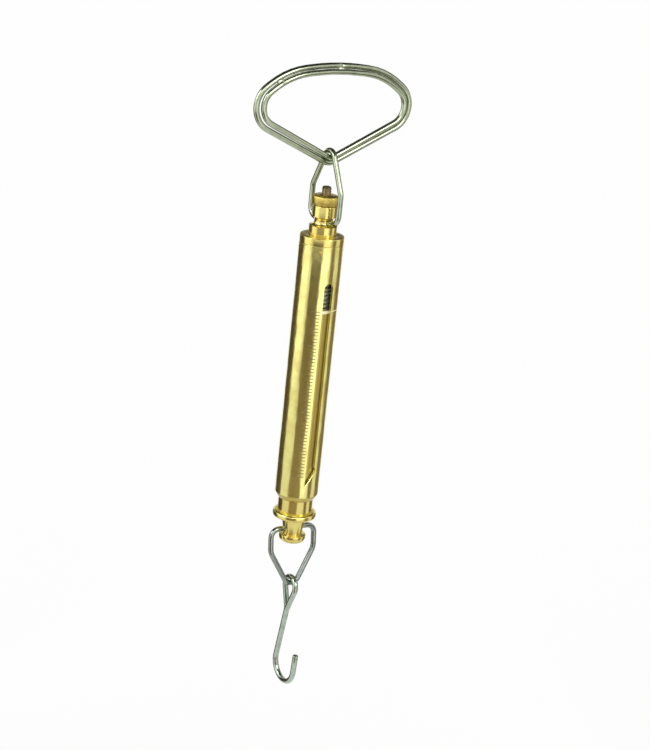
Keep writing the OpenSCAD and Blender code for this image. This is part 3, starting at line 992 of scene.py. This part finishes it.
def threaded_rod():
    """Rod with a cut thread on its upper part, a plain lower part and chamfered ends."""
    length = THREAD_HIGH_Z - THREAD_LOW_Z
    rows = round(length / THREAD_PITCH * THREAD_ROWS)
    section = [
        (0, ROD_END_Z),
        (ROD_R - ROD_CHAMFER, ROD_END_Z),
        (ROD_R, ROD_END_Z + ROD_CHAMFER),
        (ROD_R, THREAD_LOW_Z - ROD_CHAMFER),
    ]
    section += [(ROD_R, THREAD_LOW_Z + length * k / rows) for k in range(rows + 1)]
    section += [(ROD_R - ROD_TOP_CHAMFER, ROD_TOP_Z), (0, ROD_TOP_Z)]
    bm = lathe(section, ROD_STEPS)
    for v in bm.verts:
        if THREAD_LOW_Z < v.co.z < (THREAD_HIGH_Z + ROD_TOP_Z) / 2:
            phase = (v.co.z / THREAD_PITCH - turns_round(v)) % 1
            crest = 1 - abs(2 * phase - 1)
            run_out = min(1.0, (v.co.z - THREAD_LOW_Z) / THREAD_RUN_OUT)
            groove = min(1.0, max(0.0, THREAD_ROOT - THREAD_SLOPE * crest))
            sink(v, THREAD_DEPTH * run_out * groove)
    return bm


rod = finish_object(
    "adjusting_rod_threaded",
    threaded_rod(),
    rod_brass,
    "rod",
    ["adjusting_rod"],
    sharp=THREAD_SHARP,
)
slot_corner = Vector((ROD_R + CUT_PAST, DRIVER_SLOT_W / 2, 0))
slot_floor = Vector((0, 0, ROD_TOP_Z - DRIVER_SLOT_DEPTH))
above_rod = Vector((0, 0, ROD_TOP_Z + CUT_PAST))
cut(rod, [box_tool(slot_floor - slot_corner, above_rod + slot_corner)], THREAD_SHARP)


# Barrel: tube with the reading slot, pin holes and engraved graduations


def slot_outline(grow):
    """Outline of the reading slot in the XZ plane, grown outwards."""
    half = SLOT_W / 2 + grow
    top = arc(0, SLOT_TOP_Z - SLOT_W / 2, half, 0, math.pi, SLOT_END_STEPS)
    slant = [
        (-half, SLOT_TOP_Z - SLOT_LONG - grow * BEVEL_LONG_DROP),
        (half, SLOT_TOP_Z - SLOT_SHORT - grow * BEVEL_SHORT_DROP),
    ]
    notch_x = SLOT_W / 2 - NOTCH_R + NOTCH_DEPTH
    notch_z = SLOT_TOP_Z - SLOT_SHORT + NOTCH_R
    reach = NOTCH_R + grow
    first = -math.acos(max(-1.0, min(1.0, (half - notch_x) / reach)))
    return top + slant + arc(notch_x, notch_z, reach, first, -first, NOTCH_STEPS)


def slot_tool():
    """Cutter of the reading slot. Its outer end flares, which bevels the slot's edges."""
    bm = bmesh.new()
    face = bm.faces.new([bm.verts.new((x, 0, z)) for x, z in slot_outline(0)])
    for y, grow in ((BEVEL_START_Y, 0), (BEVEL_END_Y, BEVEL_FLARE)):
        made = bmesh.ops.extrude_face_region(bm, geom=[face, *face.edges])["geom"]
        face = next(g for g in made if isinstance(g, bmesh.types.BMFace))
        for v, (x, z) in zip(face.verts, slot_outline(grow)):
            v.co = (x, y, z)
    return object_from_mm("cutter", bm)


def graduation_lines():
    """Height, side of the slot, gap to it and length of each line, the zero line last."""
    lines = []
    for i in range(GRADUATIONS + 1):
        length = LONG_LINE if i % 10 == 0 else MIDDLE_LINE if i % 5 == 0 else SHORT_LINE
        lines.append((INDEX_Z - i * GRADUATION_STEP, -1, GRADUATION_GAP, length))
    lines.append((INDEX_Z, 1, ZERO_GAP, ZERO_LENGTH))
    return lines


def graduation_tool():
    """Arc-shaped cutters beside the slot."""
    bm = bmesh.new()
    section = [
        (-GRADUATION_DEPTH, -GRADUATION_FLOOR_HALF_W),
        (0, -GRADUATION_HALF_W),
        (CUT_PAST, -GRADUATION_HALF_W),
    ]
    section += [(r, -z) for r, z in reversed(section)]
    for level, side, gap, length in graduation_lines():
        first = -QUARTER + side * math.asin((SLOT_W / 2 + gap) / BARREL_R)
        verts = [bm.verts.new(spoke(first, BARREL_R + r, level + z)) for r, z in section]
        face = bm.faces.new(verts)
        bmesh.ops.spin(
            bm,
            geom=verts + list(face.edges) + [face],
            cent=(0, 0, 0),
            axis=(0, 0, 1),
            angle=side * length / BARREL_R,
            steps=GRADUATION_STEPS,
        )
    return object_from_mm("cutter", bm)


barrel = turned_piece(
    "barrel_tube",
    [
        (BORE_R, BARREL_END_Z + SEAM, 0),
        (BARREL_R, BARREL_END_Z + SEAM, 0.12),
        (BARREL_R, BARREL_TOP_Z - SEAM, 0.18),
        (BORE_R, BARREL_TOP_Z - SEAM, 0),
    ],
    polished_brass,
    "barrel",
    "barrel",
    BARREL_STEPS,
)
pin_hole_tools = [
    rod_tool(
        HEAD_PIN_HOLE_R,
        spoke(angle, BORE_R - CUT_PAST, HEAD_PIN_Z),
        spoke(angle, BARREL_R + CUT_PAST, HEAD_PIN_Z),
        PIN_STEPS,
    )
    for angle in HEAD_PIN_ANGLES
]
cut(barrel, [slot_tool(), graduation_tool()] + pin_hole_tools)


ROUND_WALL = 0.995


def dress_barrel(obj):
    """Fills the graduations dark and the zero line with a painted glint, and gives the tube's
    round faces their true normals.
    """
    mesh = obj.data
    mesh.materials.append(engraving_fill)
    mesh.materials.append(zero_line_glint)
    margin = GRADUATION_STEP / 4
    normals = [tuple(c.vector) for c in mesh.corner_normals]
    for face in mesh.polygons:
        middle = face.center / MM
        out = Vector((middle.x, middle.y, 0))
        radius = out.length
        lean = face.normal.dot(out.normalized())
        below_index = INDEX_Z - middle.z
        if BARREL_R - 2 * GRADUATION_DEPTH < radius < BARREL_R - SEAM / 2:
            beside = middle.x < -SLOT_W / 2 - 0.9 * GRADUATION_GAP
            if beside and -margin < below_index < GRADUATIONS * GRADUATION_STEP + margin:
                face.material_index = 1
            # The zero line gets the painted glint
            if middle.x > SLOT_W / 2 + 0.5 * ZERO_GAP and abs(below_index) < margin:
                face.material_index = 2
        if abs(lean) > ROUND_WALL and not BORE_R + SEAM <= radius <= BARREL_R - SEAM:
            side = math.copysign(1, lean)
            for corner in face.loop_indices:
                at = mesh.vertices[mesh.loops[corner].vertex_index].co
                normals[corner] = tuple(Vector((at.x, at.y, 0)).normalized() * side)
    mesh.normals_split_custom_set(normals)


dress_barrel(barrel)


def peened_pins():
    """Pins through the barrel, each with a low dome where it was peened over."""
    inner = BARREL_R - HEAD_PIN_LENGTH
    dome = [(HEAD_PIN_R * share, BARREL_R + rise) for share, rise in PEENED_DOME]
    bm = lathe([(0, inner), (HEAD_PIN_R, inner)] + dome, PIN_STEPS)
    turned = Matrix.Rotation(HEAD_PIN_ANGLES[0], 4, "Z") @ Matrix.Rotation(QUARTER, 4, "Y")
    place = Matrix.Translation((0, 0, HEAD_PIN_Z)) @ turned
    bmesh.ops.transform(bm, matrix=place, verts=bm.verts)
    bmesh.ops.spin(
        bm,
        geom=bm.verts[:] + bm.edges[:] + bm.faces[:],
        cent=(0, 0, 0),
        axis=(0, 0, 1),
        angle=HEAD_PIN_ANGLES[-1] - HEAD_PIN_ANGLES[0],
        steps=len(HEAD_PIN_ANGLES) - 1,
        use_duplicate=True,
    )
    return bm


finish_object(
    "head_pins_peened", peened_pins(), satin_brass, "barrel", ["head_pins"]
)


# Spring


def spring_line():
    """Middle of the spring's wire: straight ends on its plugs and even coils between."""
    even_turns = SPRING_TURNS - 2 * LEAD_TURNS
    even_length = SPRING_TOP_Z - SPRING_END_Z - 2 * SPRING_WIRE - 2 * LEAD_DROP
    line = [spoke(0, SPRING_R, SPRING_TOP_Z), spoke(0, SPRING_R, SPRING_TOP_Z - SPRING_END_RUN)]
    for k in range(SPRING_TURNS * COIL_STEPS + 1):
        turns = k / COIL_STEPS
        entry = min(1.0, turns / LEAD_TURNS)
        leaving = max(0.0, (turns - LEAD_TURNS - even_turns) / LEAD_TURNS)
        even = max(0.0, min(even_turns, turns - LEAD_TURNS))
        ease = LEAD_DROP * (math.sin(entry * QUARTER) + 1 - math.cos(leaving * QUARTER))
        drop = SPRING_WIRE + ease + even_length * even / even_turns
        line.append(spoke(TURN * turns, SPRING_R, SPRING_TOP_Z - drop))
    line.append(spoke(0, SPRING_R, SPRING_END_Z + SPRING_END_RUN))
    line.append(spoke(0, SPRING_R, SPRING_END_Z))
    return line


def ring_places(line):
    """Place of the wire's ring at each point of its line, square to the line there."""
    places = []
    for before, at, after in zip(line[:1] + line, line, line[1:] + line[-1:]):
        out = Vector((at.x, at.y, 0)).normalized()
        up = (after - before).cross(out).normalized()
        turned = Matrix((out, up, out.cross(up))).transposed().to_4x4()
        places.append(Matrix.Translation(at) @ turned)
    return places


def spring_helix():
    """A sheet with a row for each point of the spring's line, rolled into its wire."""
    places = ring_places(spring_line())
    rows = len(places) - 1
    bm = bmesh.new()
    spread = Matrix.Diagonal((rows / 2, COIL_SIDES / 2, 1, 1)) @ Matrix.Translation((1, 1, 0))
    bmesh.ops.create_grid(bm, x_segments=rows, y_segments=COIL_SIDES, size=1, matrix=spread)
    for v in bm.verts:
        side = spoke(TURN * v.co.y / COIL_SIDES, SPRING_WIRE / 2, 0)
        v.co = places[round(v.co.x)] @ side
    bmesh.ops.remove_doubles(bm, verts=bm.verts, dist=WELD)
    bmesh.ops.holes_fill(bm, edges=[e for e in bm.edges if e.is_boundary])
    return bm


spring = finish_object(
    "spring_coils", spring_helix(), spring_steel, None, ["spring"]
)
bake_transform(spring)

# Hidden inner pieces keep their solids
for name, material in (
    ("upper_spring_plug", turned_brass),
    ("lower_spring_plug", turned_brass),
    ("upper_plug_pin", spring_steel),
    ("lower_plug_pin", spring_steel),
    ("foot_pins", satin_brass),
):
    nodes[name].data.materials.clear()
    nodes[name].data.materials.append(material)


# Stage, in metres: floor, cards that stand round the object out of view, lights and camera

VIEW_TURN = math.radians(33)
VIEW_LIFT = math.radians(17.5)
VIEW_DISTANCE = 1.05
PIXELS_PER_MM = 1.734
ROLL = math.radians(5.756)
IMAGE_W, IMAGE_H = 650, 750
SENSOR_W = 36.0
TARGET = Vector((0, 0, -0.1685))
TARGET_PIXEL = (309.0, 366.0)
FLOOR_HALF = 9.0
FLOOR_Z = -0.85
FLOOR_PAINT = (0.92, 0.92, 0.91)
FLOOR_GLOW = 0.92
FRONT_CARD_Z = -0.60
CARD_FADE_Z = -0.42
CARD_GREEN, CARD_BLUE = 0.80, 0.59
OVER_CARD_HALF = 0.7
OVER_CARD_Z = 0.75
OVER_CARD_PAINT = (0.07, 0.07, 0.05)
WORLD_LIGHT = 0.95
WORLD_WHITE = 0.97


def stage_paint(name, colour, glow=0.0):
    """Matt paint. Glow is the share of it that the camera and metal see as plain white."""
    material, graph, shader = new_material(name)
    shader.inputs["Base Color"].default_value = (*colour, 1)
    shader.inputs["Roughness"].default_value = 0.9
    shader.inputs["Specular IOR Level"].default_value = 0.0
    if glow:
        share = graph.maths("MULTIPLY", graph.seen_plainly(), glow)
        white = graph.add("ShaderNodeEmission", {"Color": (1, 1, 1, 1), "Strength": 1.0})
        mixed = graph.add(
            "ShaderNodeMixShader",
            {0: share, 1: shader.outputs["BSDF"], 2: white.outputs["Emission"]},
        )
        output = material.node_tree.nodes["Material Output"]
        graph.feed(output.inputs["Surface"], mixed.outputs["Shader"])
    return material


def stage_sheet(name, corners, material):
    bm = bmesh.new()
    bm.faces.new([bm.verts.new(c) for c in corners])
    obj = mesh_object(name, bm)
    obj.data.materials.append(material)
    return obj


def level_square(half, z):
    return [(-half, -half, z), (half, -half, z), (half, half, z), (-half, half, z)]


def stage_point(bearing, distance, z):
    """Point round the object, its bearing in degrees from the camera's side to its right."""
    return spoke(math.radians(bearing) - VIEW_TURN - QUARTER, distance, z)


def faded_paint(name, low, high, low_shade, high_shade):
    """Warm brown grey paint that changes evenly from one height to another."""
    tint = (high_shade, high_shade * CARD_GREEN, high_shade * CARD_BLUE)
    material = stage_paint(name, tint)
    graph = Graph(material.node_tree)
    shade_here = graph.remap(graph.height(), low, high, low_shade, high_shade)
    colour = graph.add(
        "ShaderNodeCombineColor",
        {
            "Red": shade_here,
            "Green": graph.maths("MULTIPLY", shade_here, CARD_GREEN),
            "Blue": graph.maths("MULTIPLY", shade_here, CARD_BLUE),
        },
    )
    shader = material.node_tree.nodes["Principled BSDF"]
    graph.feed(shader.inputs["Base Color"], colour.outputs["Color"])
    return material


def card(name, first, last, distance, low, high, low_shade, high_shade):
    """Upright card from one bearing to another, seen only in the metal."""
    corners = ((first, low), (last, low), (last, high), (first, high))
    sheet = stage_sheet(
        name,
        [stage_point(bearing, distance, z) for bearing, z in corners],
        faded_paint(name + "_paint", low, high, low_shade, high_shade),
    )
    sheet.visible_camera = False


def softbox(name, bearing, distance, z, width, height, power, aim_z):
    lamp = bpy.data.lights.new(name, "AREA")
    lamp.shape = "RECTANGLE"
    lamp.size, lamp.size_y = width, height
    lamp.energy = power
    obj = bpy.data.objects.new(name, lamp)
    obj.location = stage_point(bearing, distance, z)
    obj.rotation_mode = "QUATERNION"
    aim = Vector((0, 0, aim_z)) - obj.location
    obj.rotation_quaternion = aim.to_track_quat("-Z", "Y")
    bpy.context.scene.collection.objects.link(obj)


stage_sheet(
    "floor",
    level_square(FLOOR_HALF, FLOOR_Z),
    stage_paint("floor_paint", FLOOR_PAINT, FLOOR_GLOW),
)

# Bearings of both sides, distance, heights of both ends, shades at both ends
card("card_front", -42, 14, 0.5, CARD_FADE_Z, -0.19, 0.64, 0.20)
card("card_front_low", -42, 14, 0.5, FRONT_CARD_Z, CARD_FADE_Z, 0.62, 0.62)
card("card_right", 60, 82, 0.5, FRONT_CARD_Z, -0.10, 0.34, 0.34)
card("card_right_back", 108, 150, 0.8, FLOOR_Z, -0.02, 0.26, 0.30)
card("card_left_back", -152, -95, 0.8, FLOOR_Z, -0.02, 0.12, 0.12)
card("card_back_right", 112, 180, 0.75, 0.05, 0.60, 0.12, 0.12)
card("card_back_left", 180, 248, 0.75, 0.05, 0.60, 0.12, 0.12)
card_over = stage_sheet(
    "card_over",
    level_square(OVER_CARD_HALF, OVER_CARD_Z),
    stage_paint("card_over_paint", OVER_CARD_PAINT),
)
card_over.visible_camera = False

# Bearing, distance, height, width and height of the box, power, height that it is aimed at
softbox("softbox_left", -79, 0.9, -0.05, 0.9, 0.9, 1.3, -0.17)
softbox("softbox_right", 31, 0.95, -0.30, 0.6, 0.56, 0.8, -0.17)
softbox("softbox_high_left", -62, 0.8, 0.42, 0.30, 0.45, 2.2, -0.1)
softbox("softbox_high_right", 48, 0.8, 0.30, 0.25, 0.45, 1.8, -0.1)
softbox("softbox_top", 10, 1.5, 1.4, 1.4, 1.4, 14.0, -0.17)

world = bpy.data.worlds.new("studio")
bpy.context.scene.world = world
world.use_nodes = True
sky = Graph(world.node_tree)
background = world.node_tree.nodes["Background"]
background.inputs["Color"].default_value = (1, 1, 1, 1)
strength = sky.remap(sky.seen_plainly(), 0.0, 1.0, WORLD_LIGHT, WORLD_WHITE)
sky.feed(background.inputs["Strength"], strength)

camera_data = bpy.data.cameras.new("camera")
camera = bpy.data.objects.new("camera", camera_data)
bpy.context.scene.collection.objects.link(camera)
bpy.context.scene.camera = camera
focal_pixels = PIXELS_PER_MM * VIEW_DISTANCE / MM
camera_data.sensor_width = SENSOR_W
camera_data.lens = focal_pixels * SENSOR_W / IMAGE_H
camera_data.clip_start, camera_data.clip_end = 0.05, 40.0

# The camera looks at the target, rolled, and turns a little so that it falls on its pixel
back = spoke(-VIEW_TURN - QUARTER, math.cos(VIEW_LIFT), math.sin(VIEW_LIFT))
level_right = Vector((math.cos(VIEW_TURN), -math.sin(VIEW_TURN), 0))
level_up = back.cross(level_right)
right = math.cos(ROLL) * level_right + math.sin(ROLL) * level_up
up = math.cos(ROLL) * level_up - math.sin(ROLL) * level_right
aim = (
    -back
    + right * ((IMAGE_W / 2 - TARGET_PIXEL[0]) / focal_pixels)
    - up * ((IMAGE_H / 2 - TARGET_PIXEL[1]) / focal_pixels)
).normalized()
right = (right - aim * right.dot(aim)).normalized()
up = right.cross(aim)
turned = Matrix((right, up, -aim)).transposed().to_4x4()
camera.matrix_world = Matrix.Translation(TARGET + back * VIEW_DISTANCE) @ turned

bpy.context.scene.view_settings.view_transform = "Standard"
